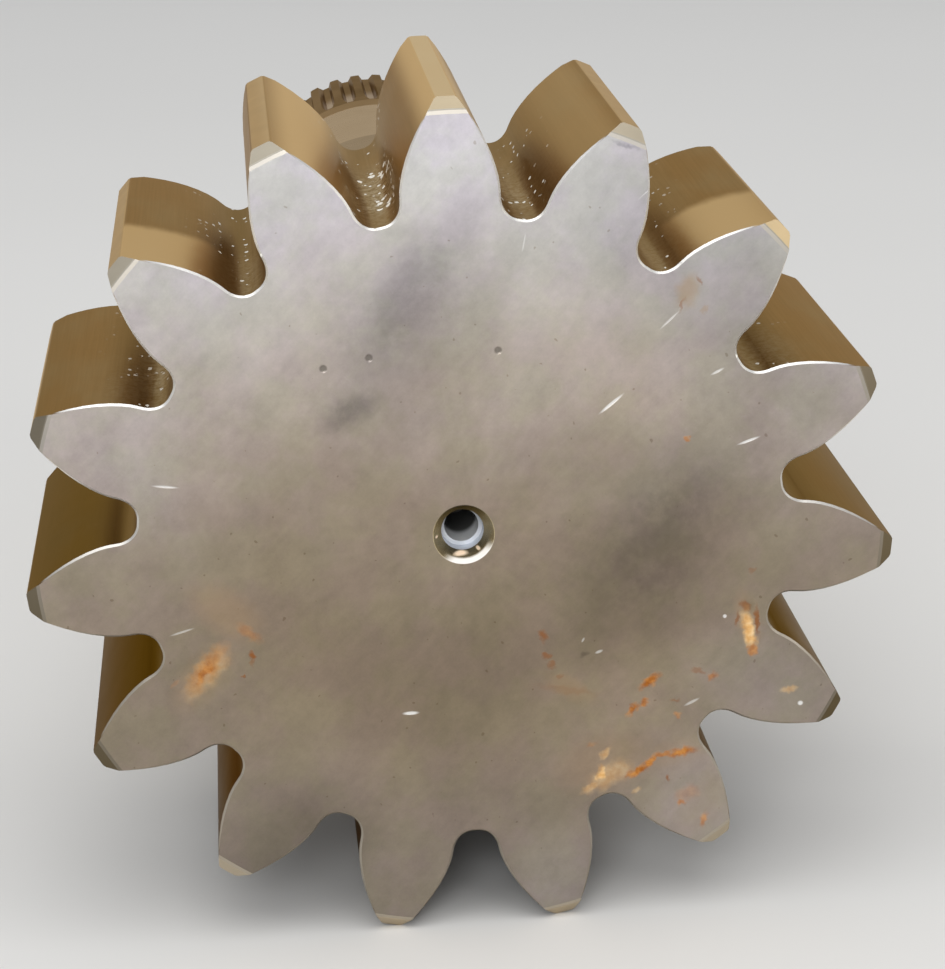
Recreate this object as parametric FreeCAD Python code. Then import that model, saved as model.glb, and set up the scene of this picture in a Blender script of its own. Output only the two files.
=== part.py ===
import FreeCAD, Part
import os
from math import acos, atan2, cos, hypot, pi, radians, sin, tan

# A pinion shaft: a straight-toothed gear head at one end, a stepped round shaft, and a splined tail.
# Millimetres. The axis runs along +Y, from the middle of the gear head's front face at the origin.
# A tooth points straight up (+Z), so a tooth space points straight down.

# Gear teeth: standard 20 degree involute form, with positive profile shift
MODULE = 12.0
TEETH = 15
PRESSURE_ANGLE = radians(20)
PROFILE_SHIFT = 0.45
DEDENDUM = 1.34
CUTTER_TIP_RADIUS = 0.35 * MODULE
FACE_WIDTH = 96.0
TIP_CHAMFER_RADIAL = 3.3
TIP_CHAMFER_AXIAL = 2.8
RIM_BREAK = 0.5
LAND_EDGE_BREAK = 0.4

# Threaded centre hole for M10, the same in both ends
CENTRE_MOUTH_RADIUS = 14.9 / 2
CENTRE_CONE_HALF_ANGLE = radians(30)
CENTRE_COUNTERBORE_RADIUS = 10.5 / 2
CENTRE_COUNTERBORE_DEPTH = 7.5
CENTRE_DRILL_RADIUS = 8.5 / 2
CENTRE_DRILL_DEPTH = 30.0
DRILL_POINT_HALF_ANGLE = radians(59)

# Shaft steps, from the gear head to the tail: radius, and where each one ends along Y
COLLAR_RADIUS = 70.0
COLLAR_END = 112.0
LOWER_SEAT_RADIUS = 60.0
LOWER_SEAT_END = 166.0
WAIST_RADIUS = 54.0
WAIST_END = 222.0
UPPER_SEAT_RADIUS = 47.5
UPPER_SEAT_END = 274.0
JOURNAL_RADIUS = 43.75
JOURNAL_END = 346.0
STEP_CHAMFER = 2.0
SHOULDER_FILLET = 3.0
RELIEF_WIDTH = 4.0
RELIEF_DEPTH = 0.6
RELIEF_CORNER_RADIUS = 1.0

# Splined tail
TAIL_END = 414.0
TAIL_CHAMFER_RADIAL = 3.0
TAIL_CHAMFER_AXIAL = 5.0
SPLINES = 34
SPLINE_DEPTH = 2.5
SPLINE_FLANK_ANGLE = radians(30)
SPLINE_FLOOR_WIDTH = 2.3
SPLINE_FULL_DEPTH_START = 371.0
HOB_RADIUS = 35.0
HOB_LIFT_ANGLE = 35.0

# Cutting shapes reach this far past the metal, and lengths under the tolerance count as nothing
OVERSHOOT = 1.0
TOLERANCE = 1e-6

# Lengths that follow from the sizes above
PITCH_RADIUS = MODULE * TEETH / 2
BASE_RADIUS = PITCH_RADIUS * cos(PRESSURE_ANGLE)
TIP_RADIUS = PITCH_RADIUS + MODULE * (1 + PROFILE_SHIFT)
ROOT_RADIUS = PITCH_RADIUS - MODULE * (DEDENDUM - PROFILE_SHIFT)
FACE_TIP_RADIUS = TIP_RADIUS - TIP_CHAMFER_RADIAL

AXIS_START = FreeCAD.Vector(0, 0, 0)
AXIS = FreeCAD.Vector(0, 1, 0)


def around(radius, angle):
    """A point in the front face's plane, at an angle from straight up towards +X."""
    return FreeCAD.Vector(radius * sin(angle), 0, radius * cos(angle))


def tooth_half_angle(radius):
    """Half of the angle that a tooth spans at a radius, on its involute flanks."""
    at_pitch = (pi / 2 + 2 * PROFILE_SHIFT * tan(PRESSURE_ANGLE)) / TEETH
    pressure = acos(BASE_RADIUS / radius)
    return at_pitch + (tan(PRESSURE_ANGLE) - PRESSURE_ANGLE) - (tan(pressure) - pressure)


# The fillet is the path of the rounded corner of a rack cutter, whose centre lies this far below the
# pitch line and this far to the side of the middle of the tooth space.
CORNER_DROP = MODULE * (DEDENDUM - PROFILE_SHIFT) - CUTTER_TIP_RADIUS
CORNER_SIDE = (
    pi * MODULE / 4
    - (MODULE * DEDENDUM - CUTTER_TIP_RADIUS) * tan(PRESSURE_ANGLE)
    - CUTTER_TIP_RADIUS / cos(PRESSURE_ANGLE)
)
FILLET_ROLL = CORNER_DROP / tan(PRESSURE_ANGLE)


def fillet_point(roll):
    """Radius, and angle from the middle of the tooth space, after the rack has rolled a distance."""
    slant = hypot(roll, CORNER_DROP)
    x = roll * (1 + CUTTER_TIP_RADIUS / slant)
    z = PITCH_RADIUS - CORNER_DROP * (1 + CUTTER_TIP_RADIUS / slant)
    turn = (roll - CORNER_SIDE) / PITCH_RADIUS
    return hypot(x, z), atan2(x, z) - turn


def smooth_curve(points):
    curve = Part.BSplineCurve()
    curve.interpolate(points)
    return curve.toShape()


def tooth_edges():
    """The outline from the middle of one tooth space's floor, over the tooth at the top, to the next."""
    half_pitch = pi / TEETH
    fillet_steps = 8
    flank_steps = 8
    fillet = [fillet_point(FILLET_ROLL * step / fillet_steps) for step in range(fillet_steps + 1)]
    fillet = [(radius, half_pitch - angle) for radius, angle in fillet]
    join_radius = fillet[-1][0]
    flank = []
    flank_end = TIP_RADIUS - LAND_EDGE_BREAK
    for step in range(flank_steps + 1):
        radius = join_radius + (flank_end - join_radius) * step / flank_steps
        flank.append((radius, tooth_half_angle(radius)))
    flank[0] = fillet[-1]
    edges = []
    floor_half = half_pitch - fillet[0][1]
    tip_half = tooth_half_angle(TIP_RADIUS) - LAND_EDGE_BREAK / TIP_RADIUS
    for side in (-1, 1):
        edges.append(smooth_curve([around(radius, side * angle) for radius, angle in fillet]))
        edges.append(smooth_curve([around(radius, side * angle) for radius, angle in flank]))
        flank_corner = around(flank_end, side * flank[-1][1])
        land_corner = around(TIP_RADIUS, side * tip_half)
        edges.append(Part.makeLine(flank_corner, land_corner))
    tip = Part.Arc(around(TIP_RADIUS, -tip_half), around(TIP_RADIUS, 0), around(TIP_RADIUS, tip_half))
    floor = Part.Arc(
        around(ROOT_RADIUS, half_pitch - floor_half),
        around(ROOT_RADIUS, half_pitch),
        around(ROOT_RADIUS, half_pitch + floor_half),
    )
    return edges + [tip.toShape(), floor.toShape()]


def turned(corners):
    """A solid of revolution about the axis, from corners given as (y, radius, rounding radius)."""
    edges = []
    places = [FreeCAD.Vector(0, y, radius) for y, radius, _ in corners]
    last = None
    first = None
    for index, here in enumerate(places):
        rounding = corners[index][2]
        before = (places[index - 1] - here).normalize()
        after = (places[(index + 1) % len(places)] - here).normalize()
        start = here
        end = here
        if rounding:
            half = before.getAngle(after) / 2
            towards_centre = (before + after).normalize()
            start = here + before * (rounding / tan(half))
            end = here + after * (rounding / tan(half))
            middle = here + towards_centre * (rounding / sin(half) - rounding)
        if last is not None:
            edges.append(Part.makeLine(last, start))
        if rounding:
            edges.append(Part.Arc(start, middle, end).toShape())
        first = first or start
        last = end
    edges.append(Part.makeLine(last, first))
    return Part.Face(Part.Wire(edges)).revolve(AXIS_START, AXIS, 360)


def centre_hole():
    """The space of a centre hole that opens at the origin and goes in along +Y."""
    cone_depth = (CENTRE_MOUTH_RADIUS - CENTRE_COUNTERBORE_RADIUS) / tan(CENTRE_CONE_HALF_ANGLE)
    point_depth = CENTRE_DRILL_RADIUS / tan(DRILL_POINT_HALF_ANGLE)
    return turned([
        (0, 0, 0),
        (0, CENTRE_MOUTH_RADIUS, 0),
        (cone_depth, CENTRE_COUNTERBORE_RADIUS, 0),
        (CENTRE_COUNTERBORE_DEPTH, CENTRE_COUNTERBORE_RADIUS, 0),
        (CENTRE_COUNTERBORE_DEPTH, CENTRE_DRILL_RADIUS, 0),
        (CENTRE_DRILL_DEPTH, CENTRE_DRILL_RADIUS, 0),
        (CENTRE_DRILL_DEPTH + point_depth, 0, 0),
    ])


def toothed_head():
    edges = []
    for tooth in range(TEETH):
        for edge in tooth_edges():
            edges.append(edge.rotated(AXIS_START, AXIS, 360 / TEETH * tooth))
    outline = Part.Wire(Part.__sortEdges__(edges))
    prism = Part.Face(outline).extrude(AXIS * FACE_WIDTH)
    beyond = TIP_RADIUS + OVERSHOOT
    blank = turned([
        (0, 0, 0),
        (0, FACE_TIP_RADIUS, 0),
        (TIP_CHAMFER_AXIAL, TIP_RADIUS, 0),
        (TIP_CHAMFER_AXIAL, beyond, 0),
        (FACE_WIDTH - TIP_CHAMFER_AXIAL, beyond, 0),
        (FACE_WIDTH - TIP_CHAMFER_AXIAL, TIP_RADIUS, 0),
        (FACE_WIDTH, FACE_TIP_RADIUS, 0),
        (FACE_WIDTH, 0, 0),
    ])
    head = prism.common(blank)
    if head.ShapeType != "Solid":
        head = head.Solids[0]
    rims = []
    for edge in head.Edges:
        low = edge.BoundBox.YMin
        high = edge.BoundBox.YMax
        if high < TOLERANCE or low > FACE_WIDTH - TOLERANCE:
            rims.append(edge)
    head = head.makeChamfer(RIM_BREAK, rims)
    return head.cut(centre_hole())


def relief(start, radius):
    """Corners of a grinding relief: a shallow groove beside a shoulder, in a seat of this radius."""
    floor = radius - RELIEF_DEPTH
    return [
        (start, floor, RELIEF_CORNER_RADIUS),
        (start + RELIEF_WIDTH, floor, 0),
        (start + RELIEF_WIDTH + 2 * RELIEF_DEPTH, radius, 0),
    ]


def step_end(end, radius):
    """Corners of the chamfer where a step of this radius ends."""
    return [(end - STEP_CHAMFER, radius, 0), (end, radius - STEP_CHAMFER, 0)]


def stepped_shaft():
    corners = [(FACE_WIDTH, 0, 0), (FACE_WIDTH, COLLAR_RADIUS, 0)]
    corners += step_end(COLLAR_END, COLLAR_RADIUS)
    corners += relief(COLLAR_END, LOWER_SEAT_RADIUS)
    corners += step_end(LOWER_SEAT_END, LOWER_SEAT_RADIUS)
    corners += [(LOWER_SEAT_END, WAIST_RADIUS, SHOULDER_FILLET)]
    corners += step_end(WAIST_END, WAIST_RADIUS)
    corners += relief(WAIST_END, UPPER_SEAT_RADIUS)
    corners += step_end(UPPER_SEAT_END, UPPER_SEAT_RADIUS)
    corners += [(UPPER_SEAT_END, JOURNAL_RADIUS, SHOULDER_FILLET)]
    corners += [(JOURNAL_END, JOURNAL_RADIUS, 0), (JOURNAL_END, 0, 0)]
    return turned(corners)


def spline_groove():
    """The space that a hob cuts for one groove at the top. It curves up and out at the hob's radius."""
    floor = JOURNAL_RADIUS - SPLINE_DEPTH
    above = 2 * SPLINE_DEPTH
    half_floor = SPLINE_FLOOR_WIDTH / 2
    half_top = half_floor + above * tan(SPLINE_FLANK_ANGLE)
    section = [
        FreeCAD.Vector(-half_floor, SPLINE_FULL_DEPTH_START, floor),
        FreeCAD.Vector(half_floor, SPLINE_FULL_DEPTH_START, floor),
        FreeCAD.Vector(half_top, SPLINE_FULL_DEPTH_START, floor + above),
        FreeCAD.Vector(-half_top, SPLINE_FULL_DEPTH_START, floor + above),
    ]
    face = Part.Face(Part.makePolygon(section + section[:1]))
    straight = face.extrude(AXIS * (TAIL_END + OVERSHOOT - SPLINE_FULL_DEPTH_START))
    hob_centre = FreeCAD.Vector(0, SPLINE_FULL_DEPTH_START, floor + HOB_RADIUS)
    run_out = face.revolve(hob_centre, FreeCAD.Vector(1, 0, 0), -HOB_LIFT_ANGLE)
    return straight.fuse(run_out)


def splined_tail():
    body = turned([
        (JOURNAL_END, 0, 0),
        (JOURNAL_END, JOURNAL_RADIUS, 0),
        (TAIL_END - TAIL_CHAMFER_AXIAL, JOURNAL_RADIUS, 0),
        (TAIL_END, JOURNAL_RADIUS - TAIL_CHAMFER_RADIAL, 0),
        (TAIL_END, 0, 0),
    ])
    groove = spline_groove()
    grooves = [groove.rotated(AXIS_START, AXIS, 360 / SPLINES * index) for index in range(SPLINES)]
    hole = centre_hole().rotated(AXIS_START, FreeCAD.Vector(0, 0, 1), 180)
    hole.translate(AXIS * TAIL_END)
    return body.cut(grooves + [hole])


os.makedirs("parts", exist_ok=True)
for name, make in (
    ("toothed_head", toothed_head),
    ("stepped_shaft", stepped_shaft),
    ("splined_tail", splined_tail),
):
    shape = make()
    solids = shape.Solids
    print(name, "solids", len(solids), "valid", shape.isValid(), "volume", round(shape.Volume))
    solids[0].exportStep("parts/" + name + ".step")
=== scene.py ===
from math import cos, radians, sin

import bpy
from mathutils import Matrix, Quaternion, Vector


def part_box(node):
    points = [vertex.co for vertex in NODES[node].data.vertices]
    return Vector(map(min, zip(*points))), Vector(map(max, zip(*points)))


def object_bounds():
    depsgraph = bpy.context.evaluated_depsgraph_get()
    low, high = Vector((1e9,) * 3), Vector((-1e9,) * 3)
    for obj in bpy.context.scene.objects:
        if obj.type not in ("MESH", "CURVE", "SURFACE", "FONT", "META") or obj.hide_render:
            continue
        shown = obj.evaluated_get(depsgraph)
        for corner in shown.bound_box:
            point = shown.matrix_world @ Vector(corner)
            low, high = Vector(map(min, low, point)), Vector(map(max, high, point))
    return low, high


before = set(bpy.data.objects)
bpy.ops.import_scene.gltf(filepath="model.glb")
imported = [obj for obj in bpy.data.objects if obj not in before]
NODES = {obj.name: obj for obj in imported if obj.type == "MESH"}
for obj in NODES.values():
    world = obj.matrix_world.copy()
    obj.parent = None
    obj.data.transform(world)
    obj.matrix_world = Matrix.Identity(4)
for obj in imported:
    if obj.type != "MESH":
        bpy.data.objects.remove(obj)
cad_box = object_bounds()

# A pinion shaft: a spur gear head, a stepped shaft and a splined tail. The shaft lies along +Y, and the
# head's front face is in the plane y = 0. Metres, except inside the materials, which work in millimetres.

MM = 0.001
HEAD_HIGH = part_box("toothed_head")[1]
SHAFT_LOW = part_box("stepped_shaft")[0]
TAIL_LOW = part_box("splined_tail")[0]

# Sizes of the head that its material needs, in millimetres. The chamfers cut the face's tips back.
TIP_RADIUS = HEAD_HIGH.z / MM
LAND_FROM = TIP_RADIUS - 0.25
FACE_TIP_RADIUS = TIP_RADIUS - 3.3
ROOT_RADIUS = 79.3

# The front centre hole, in millimetres: a radius just outside its mouth, a depth just past its cone's end,
# and the depth at which its counterbore ends and the drilled part begins
HOLE_RADIUS = 7.6
CONE_DEPTH = 3.9
DRILLED_FROM = 7.5

# Where the turned diameters begin and end along the shaft, in millimetres from the head's front face, as in
# the part's source. The last is just short of where the spline grooves start.
SHAFT_START = SHAFT_LOW.y / MM
COLLAR_END = 112
LOWER_SEAT_END = 166
WAIST_END = 222
UPPER_SEAT_END = 274
TAIL_START = TAIL_LOW.y / MM
SPLINES_START = 357

# The camera: where it stands, what it looks at, and how far it leans to its right
CAMERA_PLACE = Vector((-0.0481, -0.6488, 0.2249))
CAMERA_TARGET = Vector((0.0026, 0.0, 0.0127))
CAMERA_ROLL = radians(-2.22)
CAMERA_LENS = 104.74


# ---- Building materials ------------------------------------------------------------------------------

class Finish:
    """One procedural material. Each method adds a node and returns what it puts out."""

    def __init__(self, name):
        self.material = bpy.data.materials.new(name)
        self.material.use_nodes = True
        self.tree = self.material.node_tree
        self.tree.nodes.clear()
        coordinates = self.add("ShaderNodeTexCoord")
        metres = coordinates.outputs["Object"]
        self.place = self.vector("SCALE", metres, scale=1 / MM)
        self.x, self.y, self.z = self.split(self.place)
        self.normal_y = self.split(coordinates.outputs["Normal"])[1]
        squares = self.plus(self.times(self.x, self.x), self.times(self.z, self.z))
        self.radius = self.math("SQRT", squares)

    def add(self, kind, inputs=None, **settings):
        node = self.tree.nodes.new(kind)
        for key, value in settings.items():
            setattr(node, key, value)
        for key, value in (inputs or {}).items():
            if isinstance(value, bpy.types.NodeSocket):
                self.tree.links.new(value, node.inputs[key])
            else:
                node.inputs[key].default_value = value
        return node

    def math(self, operation, a, b=0.0):
        return self.add("ShaderNodeMath", {0: a, 1: b}, operation=operation).outputs[0]

    def plus(self, a, b):
        return self.math("ADD", a, b)

    def minus(self, a, b):
        return self.math("SUBTRACT", a, b)

    def times(self, a, b):
        return self.math("MULTIPLY", a, b)

    def swing(self, noise, amount):
        """A noise from 0 to 1 turned into a number about 0, from minus to plus half the amount."""
        return self.times(self.minus(noise, 0.5), amount)

    def vector(self, operation, a, b=(0, 0, 0), scale=1.0):
        node = self.add("ShaderNodeVectorMath", {0: a, 1: b, 3: scale}, operation=operation)
        return node.outputs["Value" if operation in ("DOT_PRODUCT", "DISTANCE") else "Vector"]

    def split(self, vector):
        return self.add("ShaderNodeSeparateXYZ", {0: vector}).outputs[:]

    def join(self, x, y, z):
        return self.add("ShaderNodeCombineXYZ", {0: x, 1: y, 2: z}).outputs[0]

    def smooth(self, value, start, end):
        """0 up to start and 1 from end, with a soft step in between. Start may be the larger."""
        inputs = {"Value": value, "From Min": start, "From Max": end}
        return self.add("ShaderNodeMapRange", inputs, interpolation_type="SMOOTHSTEP").outputs[0]

    def noise(self, vector, size, detail=3.0, roughness=0.5, distortion=0.0):
        """Soft noise from 0 to 1, whose patches are about this many millimetres wide."""
        inputs = {"Vector": vector, "Scale": 1 / size, "Detail": detail,
                  "Roughness": roughness, "Distortion": distortion}
        return self.add("ShaderNodeTexNoise", inputs).outputs["Fac"]

    def stretched(self, x, y, z):
        """The place, with each axis multiplied, so that a noise on it is drawn out along the small ones."""
        return self.vector("MULTIPLY", self.place, (x, y, z))

    def moved(self, x, y, z):
        """The place, moved, so that a noise on it has nothing to do with the others."""
        return self.vector("ADD", self.place, (x, y, z))

    def cells(self, vector, scale):
        """Voronoi cells, for loose bits of about the same size."""
        return self.add("ShaderNodeTexVoronoi", {"Vector": vector, "Scale": scale, "Randomness": 1.0})

    def both(self, a, b):
        """Where two masks are both 1."""
        return self.times(a, b)

    def either(self, a, b):
        """Where one of two masks is 1."""
        return self.math("MAXIMUM", a, b)

    def opposite(self, a):
        return self.minus(1.0, a)

    def mix(self, amount, a, b):
        """Colour a where amount is 0, b where it is 1."""
        node = self.add("ShaderNodeMix", {0: amount, 6: colour(a), 7: colour(b)}, data_type="RGBA")
        return node.outputs[2]

    def blend(self, amount, a, b):
        """Number a where amount is 0, b where it is 1."""
        return self.add("ShaderNodeMix", {0: amount, 2: a, 3: b}, data_type="FLOAT").outputs[0]

    def tint(self, base, factors):
        """A colour multiplied by a colour."""
        inputs = {0: 1.0, 6: base, 7: colour(factors)}
        return self.add("ShaderNodeMix", inputs, data_type="RGBA", blend_type="MULTIPLY").outputs[2]

    def shade(self, base, factor):
        """A colour multiplied by a number."""
        return self.tint(base, self.join(factor, factor, factor))

    def ramp(self, value, stops):
        """A colour for a value, from stops given as (value from 0 to 1, colour)."""
        node = self.add("ShaderNodeValToRGB", {0: value})
        node.color_ramp.interpolation = "B_SPLINE"
        elements = node.color_ramp.elements
        while len(elements) < len(stops):
            elements.new(0.5)
        for element, (position, shown) in zip(elements, stops):
            element.position = position
            element.color = colour(shown)
        return node.outputs["Color"]

    def finish(self, base, metallic, roughness, height, bump_distance, edge_tint=(1, 1, 1)):
        """Ends in a principled shader. The height is its bump. Metal takes the edge tint at a graze."""
        bump = self.add("ShaderNodeBump", {"Height": height, "Distance": bump_distance * MM, "Strength": 1.0})
        inputs = {"Base Color": base, "Metallic": metallic, "Roughness": roughness,
                  "Normal": bump.outputs[0], "Specular Tint": colour(edge_tint)}
        shader = self.add("ShaderNodeBsdfPrincipled", inputs)
        output = self.add("ShaderNodeOutputMaterial")
        self.tree.links.new(shader.outputs[0], output.inputs["Surface"])
        return self.material


def colour(value):
    """Three numbers as a colour with alpha; a socket stays as it is."""
    return value if isinstance(value, bpy.types.NodeSocket) else (*value, 1.0)


def put_on(node_name, material):
    """Puts one material on a CAD node, and leaves its mesh as it is."""
    thing = NODES[node_name]
    if not thing.material_slots:
        thing.data.materials.append(material)
    for slot in thing.material_slots:
        slot.link = "OBJECT"
        slot.material = material


# ---- Marks on the head -------------------------------------------------------------------------------

# Each mark: x and z of its middle, half its length and half its width, all in millimetres, the angle of
# its length from +X towards +Z in degrees, and how strongly it shows. A mark reaches through the whole head
# along y, and the material that uses it keeps it to the face, the flanks or the chamfers.

# On the front face: rust in three colours, brown film and grey smudges
RUST = (
    (-64.6, -30.5, 6.0, 2.2, 52, 0.55),
    (-65, -31.5, 3.6, 1.3, 56, 0.9),
    (-53.6, -22, 3.0, 1.3, -38, 0.42),
    (45, -41.8, 2.7, 1.1, 32, 1.0),
    (40.8, -49, 2.1, 0.8, 48, 0.95),
    (43.6, -47.5, 1.0, 0.9, 0, 0.85),
    (61, -41.5, 1.2, 1.0, 0, 0.7),
    (52, -51.5, 1.0, 0.6, -10, 0.55),
    (41.7, -66, 2.9, 1.0, 24, 1.0),
    (44.8, -63.7, 2.0, 0.8, 56, 1.0),
    (48.0, -62.0, 2.8, 0.7, 8, 0.8),
    (53.0, -61.6, 3.3, 1.05, 8, 1.0),
    (54, -73, 2.9, 1.8, 10, 0.30),
    (52.6, -75.2, 0.9, 0.9, 0, 0.75),
    (58.3, -80.8, 2.0, 0.9, 75, 0.7),
    (71.2, -35.4, 1.4, 1.1, 100, 0.75),
    (55.5, 21, 0.7, 0.6, 0, 0.7),
    (-73, -34, 1.2, 0.6, 20, 0.2),
    (30, -58, 1.2, 0.7, 15, 0.3),
)
DARK_RUST = (
    (-53.4, -28, 0.8, 1.0, 0, 1.0),
    (-53.2, -29.6, 0.5, 1.2, 0, 0.5),
    (18.6, -27.8, 1.0, 1.5, 25, 0.85),
    (19.4, -33.2, 1.1, 0.9, 0, 0.75),
    (20.6, -35.6, 0.8, 0.8, 0, 0.6),
    (22.6, -38.8, 0.8, 0.7, 0, 0.4),
    (24, -42.5, 7.0, 1.0, -12, 0.22),
    (57.2, -40, 1.5, 0.6, -20, 0.5),
    (51.5, -47.4, 1.2, 0.35, 0, 0.5),
    (49.5, -68.4, 0.6, 0.6, 0, 0.8),
    (71, -14, 0.8, 0.6, 0, 0.4),
    (72.4, -27.6, 3.4, 0.45, 96, 0.9),
    (67.5, -26.6, 1.6, 0.5, 80, 0.7),
    (69.4, -23.4, 1.5, 0.9, 120, 0.75),
    (-55.6, -33.2, 0.4, 0.4, 0, 0.8),
    (59, 60.5, 1.2, 0.35, -60, 0.5),
    (54.6, 54.6, 1.6, 0.35, 60, 0.5),
)
PALE_RUST = (
    (70.3, -30, 4.6, 1.35, 100, 1.0),
    (32.3, -66.3, 1.9, 1.3, 70, 1.0),
    (33.6, -66.8, 4.8, 2.4, 35, 0.42),
    (37.0, -65.4, 3.0, 2.4, 10, 0.36),
    (29.8, -69.5, 2.6, 1.2, 30, 0.5),
    (33.4, -60.6, 1.7, 0.8, 55, 0.5),
    (41.2, -71.2, 1.0, 0.8, 0, 0.4),
    (80.5, -46.5, 2.0, 0.8, 10, 0.45),
    (-63.6, -30.4, 5.4, 2.8, 54, 0.42),
    (-67.6, -34.8, 3.6, 2.2, 60, 0.30),
)
STAINS = (
    (56, 58, 3.8, 2.4, 72, 0.9),
    (60, 53, 1.0, 0.7, 60, 0.7),
    (-59, -16, 9.0, 5.0, -40, 0.55),
    (25, -42, 6.0, 2.4, -35, 0.5),
    (33, -63, 11.0, 7.0, 15, 0.5),
    (70, -27, 6.5, 2.6, 102, 0.6),
    (49, -62, 10.0, 3.0, 12, 0.35),
    (58, -76, 9.0, 5.0, 60, 0.3),
    (-66, -33, 9.0, 4.5, 48, 0.5),
)
SMUDGES = (
    (-10, 60, 21.0, 7.0, 56, 0.75),
    (-26, 33, 7.0, 3.4, 28, 1.0),
    (12, 66, 12.0, 6.0, 30, 0.2),
    (48, -6, 24.0, 12.0, 60, 0.85),
    (66, 8, 14.0, 7.0, 70, 0.4),
    (42, 94, 2.6, 0.5, -20, 1.0),
    (70, -23.6, 1.8, 1.2, 100, 1.0),
    (29, -33.5, 1.0, 0.6, 20, 0.9),
)

# On the front face: broad patches of painted shade, partly also the face's own darker tone, broad patches of
# painted light, and broad parts that are a little bluer
PAINTED_SHADE_PATCHES = (
    (60, 62, 38, 24, -40, 0.75),
    (-6, 60, 32, 15, 60, 0.7),
    (-46, -84, 20, 14, 60, 1.0),
    (-4, -34, 24, 14, 0, 0.3),
    (-50, 80, 40, 16, 45, 0.25),
    (46, -4, 30, 18, 62, 0.35),
)
PAINTED_LIGHT_PATCHES = (
    (60, -70, 24, 18, 20, 0.9),
    (38, -48, 26, 14, 20, 0.8),
    (2, 76, 10, 13, 0, 0.65),
    (20, -92, 9, 12, 0, 0.4),
    (-36, -52, 22, 12, -30, 0.5),
    (42, 44, 22, 14, -40, 0.6),
)
COOL = (
    (78, -44, 22, 13, -20, 0.9),
    (60, -78, 18, 13, 60, 0.9),
    (20, -95, 13, 11, 90, 0.7),
    (-92, 20, 20, 12, -20, 0.3),
)

# Flanks painted lighter as reflections and darker as shade, over their whole length or near the front only
PAINTED_FLANK_REFLECTIONS = (
    (-32, 93, 15, 7, 109, 1.0),
    (-30, 96, 12, 5, 109, 1.0),
    (0, 105, 7, 6, 0, 1.0),
    (5, 97, 12, 4, 105, 0.5),
    (34, 92, 9, 5, 66, 0.4),
)
PAINTED_FLANK_SHADE = (
    (-100, 8, 26, 14, 95, 0.65),
    (73, 36, 9, 7, 0, 0.55),
    (-72, 36, 9, 7, 0, 0.5),
    (-48, 66, 9, 6, 30, 0.35),
    (30, 96, 10, 6, 66, 0.25),
)
PAINTED_FRONT_REFLECTIONS = (
    (66, 78, 17, 12, 10, 1.0),
    (-70, 74, 16, 12, -20, 1.0),
)

# Painted reflections on the tip chamfers, tooth by tooth: chamfers painted more golden, duller or brighter
# than the rest
TIP_GOLDEN_REFLECTIONS = (
    (0, 105, 9, 7, 0, 0.4),
    (78, 70, 9, 7, -48, 0.9),
    (100, 33, 9, 7, -72, 0.3),
    (104, -11, 9, 7, 90, 0.5),
    (43, 97, 9, 7, -24, 0.15),
)
TIP_DULL_REFLECTIONS = (
    (0, 105, 9, 7, 0, 1.0),
    (-43, 97, 9, 7, 24, 0.6),
    (-100, 33, 9, 7, 72, 0.7),
    (78, 70, 9, 7, -48, 0.3),
    (100, 33, 9, 7, -72, 0.8),
    (104, -11, 9, 7, 90, 0.7),
    (43, 97, 9, 7, -24, 0.3),
)
TIP_BRIGHT_REFLECTIONS = (
    (43, 97, 9, 7, -24, 1.0),
    (-78, 70, 9, 7, 48, 0.9),
    (-91, -53, 9, 7, 120, 1.0),
    (91, -53, 9, 7, 60, 1.0),
)

# Bright nicks and scratches on the front face
NICKS = (
    (-71.5, 17, 2.6, 0.28, -8, 0.75),
    (-70, -20.5, 2.6, 0.26, 15, 0.42),
    (-15, -46, 1.7, 0.42, 0, 1.0),
    (37, 31, 3.1, 0.36, 38, 0.95),
    (63, 37.5, 1.5, 0.30, 25, 0.7),
    (70.5, 19.5, 2.4, 0.30, 18, 0.9),
    (51.5, 51, 2.6, 0.24, 42, 0.5),
    (55.6, -48.2, 1.8, 0.34, 25, 0.5),
    (83.2, -50.5, 0.6, 0.55, 0, 1.0),
    (64.2, -25.8, 0.45, 0.45, 0, 0.9),
    (17, 72, 2.0, 0.18, 78, 0.4),
    (32.5, -33, 0.9, 0.34, 20, 0.5),
    (28.6, -29.6, 0.6, 0.25, 60, 0.4),
    (53.5, 88, 4.6, 0.12, 47, 0.35),
    (47, 83, 3.2, 0.10, 40, 0.3),
)

# Painted highlights: small bright glints on the centre hole's cone
HOLE_GLINTS = (
    (-0.8, -5.7, 1.7, 0.45, 0, 1.0),
    (3.6, -4.6, 0.5, 0.4, 0, 0.8),
    (-6.6, -0.6, 0.35, 0.35, 0, 0.8),
)

# Round punch dots on the front face
PUNCH_DOTS = (
    (-32, 44, 0.8, 0.8, 0, 1.0),
    (-21, 46, 0.8, 0.8, 0, 1.0),
    (10, 46, 0.8, 0.8, 0, 1.0),
)

# Where swarf lies thickest, on the floors of the upper tooth spaces
HEAPS = (
    (-14, 80, 8, 6, -20, 1.0),
    (-72, 36, 8, 4, 55, 0.4),
    (17, 79, 6, 4, 20, 0.35),
)


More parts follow.
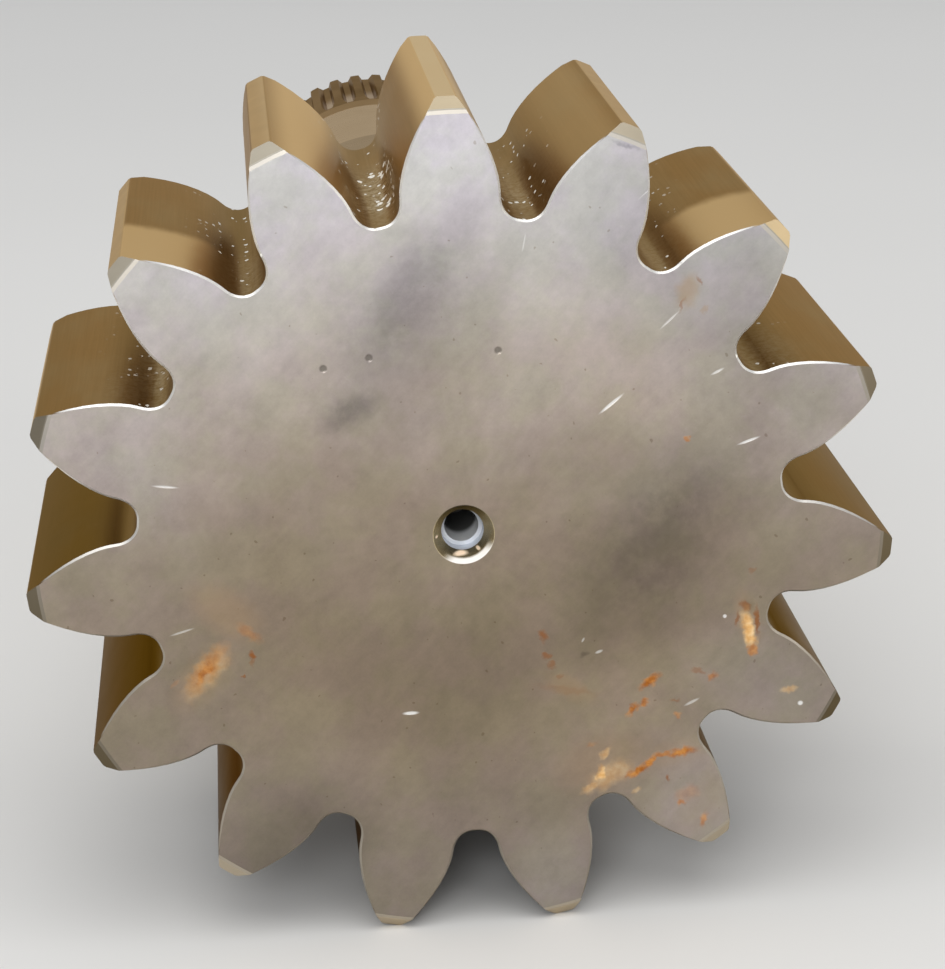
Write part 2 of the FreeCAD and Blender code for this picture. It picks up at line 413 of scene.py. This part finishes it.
def marks(finish, place, listed, soft):
    """How strongly a list of marks shows at each point: an ellipse each, with its edge softened."""
    shown = 0.0
    for x, z, half_length, half_width, angle, strength in listed:
        middle = Vector((x, 0, z))
        lengthways = Vector((cos(radians(angle)), 0, sin(radians(angle)))) / half_length
        across = Vector((-sin(radians(angle)), 0, cos(radians(angle)))) / half_width
        along = finish.vector("DOT_PRODUCT", place, lengthways)
        aside = finish.vector("DOT_PRODUCT", place, across)
        local_middle = (middle.dot(lengthways), middle.dot(across), 0)
        reach = finish.vector("DISTANCE", finish.join(along, aside, 0), local_middle)
        inputs = {"Value": reach, "From Min": 1 + soft, "From Max": 1 - soft, "To Max": strength}
        one = finish.add("ShaderNodeMapRange", inputs, interpolation_type="SMOOTHSTEP").outputs[0]
        shown = one if shown == 0.0 else finish.either(shown, one)
    return shown


# ---- The gear head -----------------------------------------------------------------------------------

class HeadFinish(Finish):
    """The gear head's material, with masks for its zones and the noises that several zones share."""

    def __init__(self, name):
        super().__init__(name)
        self.facing_front = self.smooth(self.times(self.normal_y, -1.0), 0.90, 0.985)
        self.facing_back = self.smooth(self.normal_y, 0.90, 0.985)
        self.in_hole = self.smooth(self.radius, HOLE_RADIUS + 0.1, HOLE_RADIUS - 0.1)
        self.in_bore = self.smooth(self.y, CONE_DEPTH - 0.2, CONE_DEPTH + 0.2)
        slope = self.math("ABSOLUTE", self.normal_y)
        square_on = self.either(self.facing_front, self.facing_back)
        self.sloping = self.both(self.smooth(slope, 0.35, 0.5), self.opposite(square_on))
        outermost = self.smooth(self.radius, LAND_FROM, LAND_FROM + 0.15)
        self.land = self.both(outermost, self.opposite(self.sloping))
        at_tip = self.smooth(self.radius, FACE_TIP_RADIUS - 1.3, FACE_TIP_RADIUS - 0.8)
        self.tip_chamfer = self.both(self.sloping, at_tip)
        self.corner = self.both(self.smooth(self.y, 0.62, 0.54), self.smooth(self.z, 20, 60))
        # The shade on the lower teeth is painted in, by height
        self.lower = self.smooth(self.z, 35, -65)

        self.clouds = self.noise(self.place, 11, detail=5, roughness=0.6)
        self.grain = self.noise(self.place, 0.55, detail=2)
        self.speckle = self.noise(self.place, 0.9, detail=4, roughness=0.7)
        self.along = self.noise(self.stretched(1.8, 0.03, 1.8), 1.0, detail=4, roughness=0.6)
        self.patches = self.noise(self.stretched(1, 0.35, 1), 16, detail=4, roughness=0.55)
        self.brushed = self.brushed_lines()
        inputs = {"Vector": self.place, "Scale": 0.45, "Detail": 4.0}
        ragged = self.add("ShaderNodeTexNoise", inputs).outputs["Color"]
        self.shift = self.vector("SCALE", self.vector("SUBTRACT", ragged, (0.5, 0.5, 0.5)), scale=3.2)
        self.torn_place = self.vector("ADD", self.place, self.shift)

    def brushed_lines(self):
        """Fine lines from wiping and grinding, which rise to the right across the face."""
        lengthways = self.plus(self.times(self.x, 0.05), self.times(self.z, 0.05))
        across = self.minus(self.times(self.z, 0.30), self.times(self.x, 0.30))
        return self.noise(self.join(lengthways, 0.0, across), 1.0, detail=6, roughness=0.65)

    def face_marks(self, place, listed, soft):
        """A list of marks, on the front face only."""
        return self.both(self.facing_front, marks(self, place, listed, soft))


def face_colour(m, stain):
    """The front face: painted light from above, lighter and cooler at the top and darker and warmer towards
    the bottom, with broad painted light and shade, stains and smudges.
    """
    # Painted light from above: lighter and cooler at the top, darker and warmer towards the bottom
    wander = m.noise(m.place, 28, detail=2)
    height = m.plus(m.z, m.swing(wander, 40.0))
    share = m.add("ShaderNodeMapRange", {"Value": height, "From Min": -TIP_RADIUS, "From Max": TIP_RADIUS})
    face = m.ramp(share.outputs[0], (
        (0.05, (0.272, 0.226, 0.178)),
        (0.30, (0.262, 0.208, 0.144)),
        (0.48, (0.290, 0.235, 0.172)),
        (0.62, (0.385, 0.328, 0.270)),
        (0.76, (0.510, 0.464, 0.418)),
        (0.92, (0.600, 0.568, 0.548)),
    ))
    rim = m.smooth(m.radius, 45, 95)
    face = m.mix(rim, face, m.tint(face, (1.08, 1.12, 1.20)))
    mottle = m.noise(m.place, 2.6, detail=4, roughness=0.62)
    tone = m.plus(m.swing(m.clouds, 0.42), 1.0)
    for noise, amount in ((m.brushed, 0.20), (m.grain, 0.10), (mottle, 0.26)):
        tone = m.plus(tone, m.swing(noise, amount))
    face = m.shade(face, tone)
    hue = m.smooth(m.noise(m.moved(-70, 0, 310), 15, detail=4, roughness=0.6), 0.38, 0.62)
    face = m.mix(hue, m.tint(face, (1.02, 0.985, 1.03)), m.tint(face, (0.995, 1.005, 0.955)))
    pits = m.smooth(m.noise(m.moved(0, 0, 77), 1.9, detail=1), 0.735, 0.775)
    face = m.mix(m.times(pits, 0.5), face, m.tint(face, (0.52, 0.44, 0.36)))
    warm = m.smooth(m.noise(m.moved(130, 0, 40), 19, detail=3), 0.45, 0.75)
    face = m.mix(m.times(warm, 0.35), face, m.shade(face, 0.93))

    # Broad patches of painted light and painted shade
    lighter = marks(m, m.place, PAINTED_LIGHT_PATCHES, 0.7)
    darker = marks(m, m.place, PAINTED_SHADE_PATCHES, 0.7)
    face = m.shade(face, m.minus(m.plus(1.0, m.times(lighter, 0.25)), m.times(darker, 0.30)))
    face = m.mix(marks(m, m.place, COOL, 0.7), face, m.tint(face, (1.10, 1.14, 1.26)))
    broken = m.smooth(m.noise(m.place, 9, detail=6, roughness=0.68), 0.30, 0.62)
    smudge = m.both(m.face_marks(m.torn_place, SMUDGES, 0.75), m.plus(0.45, m.times(broken, 0.55)))
    face = m.mix(m.times(smudge, 0.65), face, m.tint(face, (0.42, 0.42, 0.45)))
    return m.mix(m.times(stain, 0.55), face, (0.36, 0.235, 0.115))


def flank_colour(m, painted_reflection):
    """The flanks: a bronze tone that stands in for the brown surroundings they mirror in the photo."""
    up_flank = m.smooth(m.radius, ROOT_RADIUS + 1, ROOT_RADIUS + 20)
    flank = m.mix(up_flank, (0.270, 0.195, 0.115), (0.320, 0.200, 0.100))
    flank = m.mix(m.smooth(m.patches, 0.42, 0.72), flank, (0.350, 0.250, 0.140))
    flank = m.shade(flank, m.plus(0.80, m.times(m.along, 0.40)))
    # Painted reflections: some flanks lighter over their whole length
    flank = m.mix(painted_reflection, flank, (0.880, 0.690, 0.410))
    # Painted reflections: some flanks lighter near the front
    front_part = m.smooth(m.plus(m.y, m.times(m.patches, 12.0)), 46, 38)
    painted_front_reflection = m.both(front_part, marks(m, m.place, PAINTED_FRONT_REFLECTIONS, 0.5))
    flank = m.mix(painted_front_reflection, flank, (0.800, 0.610, 0.355))
    # Painted shade: some flanks darker
    flank = m.mix(marks(m, m.place, PAINTED_FLANK_SHADE, 0.6), flank, (0.110, 0.072, 0.036))
    # Painted shade: the flanks darker on the lower teeth
    return m.mix(m.times(m.lower, 0.84), flank, (0.020, 0.014, 0.008))


def land_colour(m, painted_reflection):
    """The teeth's outer lands, with painted reflections where the flanks have them and painted shade on the
    lower teeth.
    """
    lands = m.mix(m.noise(m.place, 9, detail=3), (0.74, 0.58, 0.36), (0.56, 0.43, 0.27))
    lands = m.mix(m.times(painted_reflection, 0.9), lands, (0.98, 0.86, 0.62))
    return m.mix(m.times(m.lower, 0.85), lands, (0.050, 0.036, 0.020))


def chamfer_colour(m):
    """The chamfers between the faces and the lands, with painted reflections tooth by tooth, painted shade
    lower down and a painted reflection on the lowest teeth.
    """
    golden = marks(m, m.place, TIP_GOLDEN_REFLECTIONS, 0.3)
    chamfers = m.mix(golden, (0.40, 0.362, 0.292), (0.82, 0.640, 0.380))
    dull = marks(m, m.place, TIP_DULL_REFLECTIONS, 0.3)
    bright = marks(m, m.place, TIP_BRIGHT_REFLECTIONS, 0.3)
    chamfers = m.shade(chamfers, m.minus(m.plus(0.95, m.times(bright, 0.35)), m.times(dull, 0.30)))
    chamfers = m.shade(chamfers, m.plus(0.85, m.times(m.clouds, 0.30)))
    # Painted shade: the chamfers darker towards the bottom
    chamfers = m.mix(m.times(m.smooth(m.z, 95, -40), 0.92), chamfers, (0.130, 0.106, 0.068))
    # Painted reflection: the lowest chamfers lighter
    chamfers = m.mix(m.smooth(m.z, -60, -85), chamfers, (0.620, 0.550, 0.440))
    return m.mix(m.corner, chamfers, (0.50, 0.47, 0.41))


def centre_hole(m):
    """The front centre hole's colour, with painted highlights, a painted reflection and painted shade, and a
    mask for the painted highlights on its cone.
    """
    cone = m.mix(m.noise(m.place, 1.6, detail=3), (0.42, 0.33, 0.17), (0.60, 0.52, 0.36))
    # Painted highlight: a bright crescent at the lower right of the cone's mouth
    from_lower_right = m.minus(m.times(m.z, 0.97), m.times(m.x, 0.24))
    crescent = m.both(m.smooth(m.radius, 6.3, 6.8), m.smooth(from_lower_right, -3.2, -6.0))
    cone = m.mix(crescent, cone, (0.97, 0.94, 0.90))
    # Painted highlights: glints on the cone
    glint = marks(m, m.place, HOLE_GLINTS, 0.5)
    cone = m.mix(glint, cone, (1.0, 0.78, 0.58))
    # Painted reflection: the counterbore's wall bluish white
    hole = m.mix(m.in_bore, cone, (0.62, 0.66, 0.74))
    # Painted light and shade in the drilled part: bright near its start and dark deeper in
    in_drilled = m.smooth(m.y, DRILLED_FROM - 0.2, DRILLED_FROM + 0.2)
    drilled = m.mix(m.smooth(m.y, 16.5, 12.5), (0.16, 0.157, 0.15), (0.98, 0.99, 1.0))
    hole = m.mix(in_drilled, hole, drilled)
    # Painted shade: the hole darker towards its top and lighter towards its bottom
    shaded_wall = m.plus(0.40, m.times(m.smooth(m.z, 2.5, -3.5), 0.60))
    hole = m.shade(hole, m.blend(m.in_bore, m.smooth(m.z, 9.0, 1.0), shaded_wall))
    return hole, m.either(crescent, glint)


def swarf(m):
    """Masks for chips and for bright dust in the upper tooth spaces, thickest on the heaps."""
    near_root = m.both(m.smooth(m.radius, 97, 84), m.opposite(m.facing_front))
    near_root = m.both(near_root, m.both(m.smooth(m.radius, 20, 40), m.opposite(m.facing_back)))
    upper = m.both(m.smooth(m.z, 15, 45), near_root)
    heap = m.both(marks(m, m.place, HEAPS, 0.9), m.both(m.smooth(m.y, 8, 26), m.smooth(m.y, 78, 48)))
    chips_place = m.vector("ADD", m.stretched(1, 0.6, 1), m.vector("SCALE", m.shift, scale=0.35))
    cells = m.cells(chips_place, 0.62)
    chip_size = m.times(m.split(cells.outputs["Color"])[0], m.blend(heap, 0.62, 0.78))
    chips = m.smooth(m.minus(chip_size, cells.outputs["Distance"]), 0.24, 0.30)
    scatter = m.noise(m.place, 12, detail=3)
    scattered = m.smooth(scatter, m.blend(heap, 0.51, 0.42), m.blend(heap, 0.54, 0.50))
    cells = m.cells(m.stretched(1, 0.55, 1), 0.50)
    flake_size = m.times(m.split(cells.outputs["Color"])[1], m.smooth(heap, 0.2, 0.7))
    flakes = m.smooth(m.minus(flake_size, cells.outputs["Distance"]), 0.32, 0.42)
    chips = m.both(m.either(m.both(chips, scattered), flakes), upper)
    dust = m.smooth(m.noise(m.place, 1.5, detail=5, roughness=0.7), 0.36, 0.62)
    front_end = m.smooth(m.y, 60, 10)
    dust = m.both(m.both(dust, upper), m.plus(m.times(heap, 0.60), m.times(front_end, 0.22)))
    return chips, dust


def rust_colours(m):
    """The colours of fresh rust and of pale, powdery rust."""
    fresh = m.ramp(m.noise(m.place, 2.6, detail=5, roughness=0.6), (
        (0.28, (0.240, 0.068, 0.012)),
        (0.48, (0.405, 0.140, 0.024)),
        (0.66, (0.580, 0.275, 0.080)),
    ))
    pale = m.ramp(m.noise(m.place, 2.2, detail=4), (
        (0.28, (0.560, 0.270, 0.075)),
        (0.48, (0.740, 0.440, 0.165)),
        (0.68, (0.820, 0.620, 0.370)),
    ))
    return fresh, pale


def head_material():
    m = HeadFinish("cut_gear_steel")
    rust = marks(m, m.torn_place, RUST, 0.6)
    rust = m.both(m.facing_front, m.both(rust, m.smooth(m.speckle, 0.02, 0.34)))
    pale_rust = marks(m, m.torn_place, PALE_RUST, 0.6)
    pale_rust = m.both(m.facing_front, m.both(pale_rust, m.smooth(m.speckle, 0.10, 0.44)))
    dark_rust = m.face_marks(m.torn_place, DARK_RUST, 0.6)
    stain = m.face_marks(m.torn_place, STAINS, 0.6)
    nick = m.face_marks(m.place, NICKS, 0.45)
    punch = m.face_marks(m.place, PUNCH_DOTS, 0.4)

    painted_reflection = marks(m, m.place, PAINTED_FLANK_REFLECTIONS, 0.6)
    # Painted light and shade on the sloping edges: lighter at the top, darker at the bottom
    painted_edge_light = m.mix(m.smooth(m.z, 30, -30), (0.80, 0.79, 0.77), (0.42, 0.38, 0.32))
    back = m.mix(m.clouds, (0.30, 0.24, 0.17), (0.44, 0.38, 0.31))
    back = m.shade(back, m.plus(0.85, m.times(m.brushed, 0.3)))
    hole, painted_hole_highlights = centre_hole(m)
    base = m.mix(m.facing_front, flank_colour(m, painted_reflection), face_colour(m, stain))
    base = m.mix(m.sloping, base, painted_edge_light)
    base = m.mix(m.land, base, land_colour(m, painted_reflection))
    base = m.mix(m.tip_chamfer, base, chamfer_colour(m))
    base = m.mix(m.facing_back, base, back)
    base = m.mix(m.in_hole, base, hole)
    base = m.mix(m.times(nick, 0.9), base, (0.93, 0.92, 0.90))

    chips, dust = swarf(m)
    base = m.mix(dust, base, (0.78, 0.75, 0.62))
    base = m.mix(chips, base, (0.96, 0.94, 0.86))
    fresh_colour, pale_colour = rust_colours(m)
    base = m.mix(dark_rust, base, (0.235, 0.090, 0.030))
    base = m.mix(pale_rust, base, pale_colour)
    base = m.mix(rust, base, fresh_colour)
    base = m.mix(m.times(punch, 0.7), base, (0.14, 0.125, 0.105))

    rusty = m.either(m.either(rust, dark_rust), pale_rust)
    metallic = m.both(m.opposite(m.times(rusty, 0.95)), m.opposite(m.times(stain, 0.4)))
    metallic = m.both(metallic, m.opposite(chips))
    painted_hole = m.both(m.in_hole, m.either(painted_hole_highlights, m.times(m.in_bore, 0.8)))
    metallic = m.both(metallic, m.opposite(painted_hole))
    flank_roughness = m.plus(0.24, m.times(m.patches, 0.16))
    face_roughness = m.plus(0.36, m.times(m.clouds, 0.16))
    roughness = m.blend(m.facing_front, flank_roughness, face_roughness)
    roughness = m.blend(m.sloping, roughness, 0.42)
    roughness = m.blend(m.both(m.tip_chamfer, m.corner), roughness, 0.7)
    roughness = m.blend(m.in_hole, roughness, 0.25)
    roughness = m.blend(rusty, roughness, 0.85)
    bump = m.swing(m.grain, 0.30)
    bump = m.plus(bump, m.times(m.both(m.opposite(m.facing_front), m.along), 0.35))
    bump = m.plus(bump, m.times(rusty, m.times(m.speckle, 2.5)))
    bump = m.minus(bump, m.times(nick, 2.0))
    bump = m.minus(bump, m.times(punch, 8.0))
    bump = m.plus(bump, m.times(chips, 4.0))
    # Painted shade: the edge tint darker on the lower teeth; in the bore it is bluish, as part of the bore's
    # painted reflection
    edge_tint = m.mix(m.lower, (0.80, 0.63, 0.41), (0.50, 0.35, 0.18))
    edge_tint = m.mix(m.both(m.in_hole, m.in_bore), edge_tint, (0.66, 0.68, 0.74))
    return m.finish(base, metallic, roughness, bump, 0.03, edge_tint=edge_tint)


# ---- The shaft and the splined tail ------------------------------------------------------------------

def turned_lines(m, fineness):
    """Fine rings left by turning or grinding, on cylinders and on shoulders alike."""
    travel = m.times(m.plus(m.y, m.radius), fineness)
    around = m.join(m.times(m.x, 0.015), travel, m.times(m.z, 0.015))
    return m.noise(around, 1.0, detail=4, roughness=0.6)


def painted_run_out_glints(m):
    """Where the painted highlight goes: the spline grooves' floors near where the cutter ran out, by radius
    and by place along the shaft.
    """
    floors = m.both(m.smooth(m.radius, 43.1, 42.5), m.smooth(m.radius, 40, 41))
    return m.both(m.both(m.smooth(m.y, 390, 376), floors), m.smooth(m.y, 355, SPLINES_START))


def turned_material(name, light, dark, film, film_from, roughness_low, roughness_high, bands, run_out_glint=0.0,
                    edge_tint=(0.80, 0.69, 0.54)):
    """Turned or ground steel, with rings, clouds of oil film and a few rusty spots.

    Each band is (start and end along the shaft, colour, strength) of a stretch that differs. The
    run_out_glint argument is how strongly a painted highlight shows on the groove floors where the splines
    end."""
    m = Finish(name)
    rings = turned_lines(m, 2.2)
    clouds = m.noise(m.place, 24, detail=5, roughness=0.6)
    grain = m.noise(m.place, 0.5, detail=2)
    base = m.mix(clouds, dark, light)
    base = m.shade(base, m.plus(0.82, m.times(rings, 0.36)))
    oily = m.smooth(m.noise(m.moved(60, 20, -30), 32, detail=4), film_from, film_from + 0.25)
    base = m.mix(m.times(oily, 0.75), base, film)
    for start, end, shown, strength in bands:
        band = m.both(m.smooth(m.y, start - 0.5, start + 0.5), m.smooth(m.y, end + 0.5, end - 0.5))
        base = m.mix(m.times(band, strength), base, shown)
    # Painted highlight on the groove floors where the splines end
    base = m.mix(m.times(painted_run_out_glints(m), run_out_glint), base, (0.88, 0.82, 0.75))
    spots = m.smooth(m.noise(m.moved(5, 200, 9), 6, detail=6, roughness=0.7), 0.70, 0.78)
    base = m.mix(m.times(spots, 0.7), base, (0.30, 0.12, 0.04))
    metallic = m.opposite(m.times(spots, 0.6))
    roughness = m.blend(rings, roughness_low, roughness_high)
    roughness = m.blend(spots, roughness, 0.7)
    bump = m.plus(m.times(rings, 0.8), m.times(grain, 0.2))
    return m.finish(base, metallic, roughness, bump, 0.02, edge_tint=edge_tint)


# The tan and brown tones and the stretches that differ are partly an oil film and partly painted reflections
# of brown surroundings
def shaft_material():
    return turned_material(
        "ground_shaft_steel", light=(0.56, 0.48, 0.365), dark=(0.40, 0.32, 0.22), film=(0.34, 0.255, 0.155),
        film_from=0.50, roughness_low=0.20, roughness_high=0.40, bands=(
            (SHAFT_START, COLLAR_END, (0.34, 0.28, 0.20), 0.4),
            (LOWER_SEAT_END, WAIST_END, (0.32, 0.26, 0.185), 0.4),
            (WAIST_END, UPPER_SEAT_END, (0.30, 0.215, 0.13), 0.5),
            (UPPER_SEAT_END, TAIL_START, (0.66, 0.505, 0.33), 0.45),
        ))


# The tan band before the splines is partly an oil film and partly a painted reflection of brown surroundings;
# the run-out colour is a painted highlight
def tail_material():
    return turned_material(
        "hobbed_spline_steel", light=(0.36, 0.275, 0.18), dark=(0.21, 0.15, 0.09), film=(0.12, 0.083, 0.048),
        film_from=0.42, roughness_low=0.22, roughness_high=0.42, bands=(
            (TAIL_START, SPLINES_START, (0.62, 0.48, 0.31), 0.5),
        ), run_out_glint=0.65, edge_tint=(0.60, 0.46, 0.31))


put_on("toothed_head", head_material())
put_on("stepped_shaft", shaft_material())
put_on("splined_tail", tail_material())


# ---- Floor, light and camera -------------------------------------------------------------------------

def floor_material():
    m = Finish("pale_floor")
    soft = m.noise(m.place, 400, detail=2)
    base = m.mix(soft, (0.74, 0.73, 0.71), (0.78, 0.77, 0.75))
    return m.finish(base, 0.0, 0.9, soft, 0.01)


def make_floor():
    size = 24.0
    corners = [(x * size / 2, y * size / 2, cad_box[0].z) for x, y in ((-1, -1), (1, -1), (1, 1), (-1, 1))]
    mesh = bpy.data.meshes.new("floor")
    mesh.from_pydata(corners, [], [(0, 1, 2, 3)])
    floor = bpy.data.objects.new("floor", mesh)
    bpy.context.scene.collection.objects.link(floor)
    mesh.materials.append(floor_material())


def make_world():
    """Plain studio surroundings: pale at the horizon and lighter overhead."""
    world = bpy.data.worlds.new("studio")
    world.use_nodes = True
    bpy.context.scene.world = world
    tree = world.node_tree
    tree.nodes.clear()
    direction = tree.nodes.new("ShaderNodeTexCoord")
    split = tree.nodes.new("ShaderNodeSeparateXYZ")
    ramp = tree.nodes.new("ShaderNodeValToRGB")
    background = tree.nodes.new("ShaderNodeBackground")
    output = tree.nodes.new("ShaderNodeOutputWorld")
    tree.links.new(direction.outputs["Generated"], split.inputs[0])
    tree.links.new(split.outputs["Z"], ramp.inputs[0])
    tree.links.new(ramp.outputs[0], background.inputs["Color"])
    tree.links.new(background.outputs[0], output.inputs["Surface"])
    elements = ramp.color_ramp.elements
    elements[0].position = 0.0
    elements[0].color = (0.80, 0.78, 0.75, 1)
    elements[1].position = 0.75
    elements[1].color = (0.60, 0.62, 0.65, 1)
    background.inputs["Strength"].default_value = 0.85


def make_light(name, place, size, power, tint):
    data = bpy.data.lights.new(name, "AREA")
    data.shape = "RECTANGLE"
    data.size, data.size_y = size
    data.energy = power
    data.color = tint
    lamp = bpy.data.objects.new(name, data)
    lamp.location = place
    lamp.rotation_mode = "QUATERNION"
    lamp.rotation_quaternion = (-Vector(place)).to_track_quat("-Z", "Y")
    bpy.context.scene.collection.objects.link(lamp)


def make_camera():
    data = bpy.data.cameras.new("camera")
    data.lens = CAMERA_LENS
    data.clip_start = 0.05
    data.clip_end = 60
    camera = bpy.data.objects.new("camera", data)
    camera.location = CAMERA_PLACE
    camera.rotation_mode = "QUATERNION"
    looking = (CAMERA_TARGET - CAMERA_PLACE).to_track_quat("-Z", "Y")
    camera.rotation_quaternion = looking @ Quaternion((0, 0, 1), CAMERA_ROLL)
    bpy.context.scene.collection.objects.link(camera)
    bpy.context.scene.camera = camera


make_floor()
make_world()
make_light("overhead", (-0.3, -0.9, 2.4), (3.0, 2.2), 34, (1.0, 0.99, 0.97))
make_light("front", (-0.5, -2.3, 1.05), (1.2, 1.0), 22, (0.96, 0.98, 1.0))
make_light("right", (1.9, -0.7, 0.9), (0.9, 0.9), 4, (1.0, 0.96, 0.90))
make_camera()
bpy.context.scene.view_settings.view_transform = "Standard"
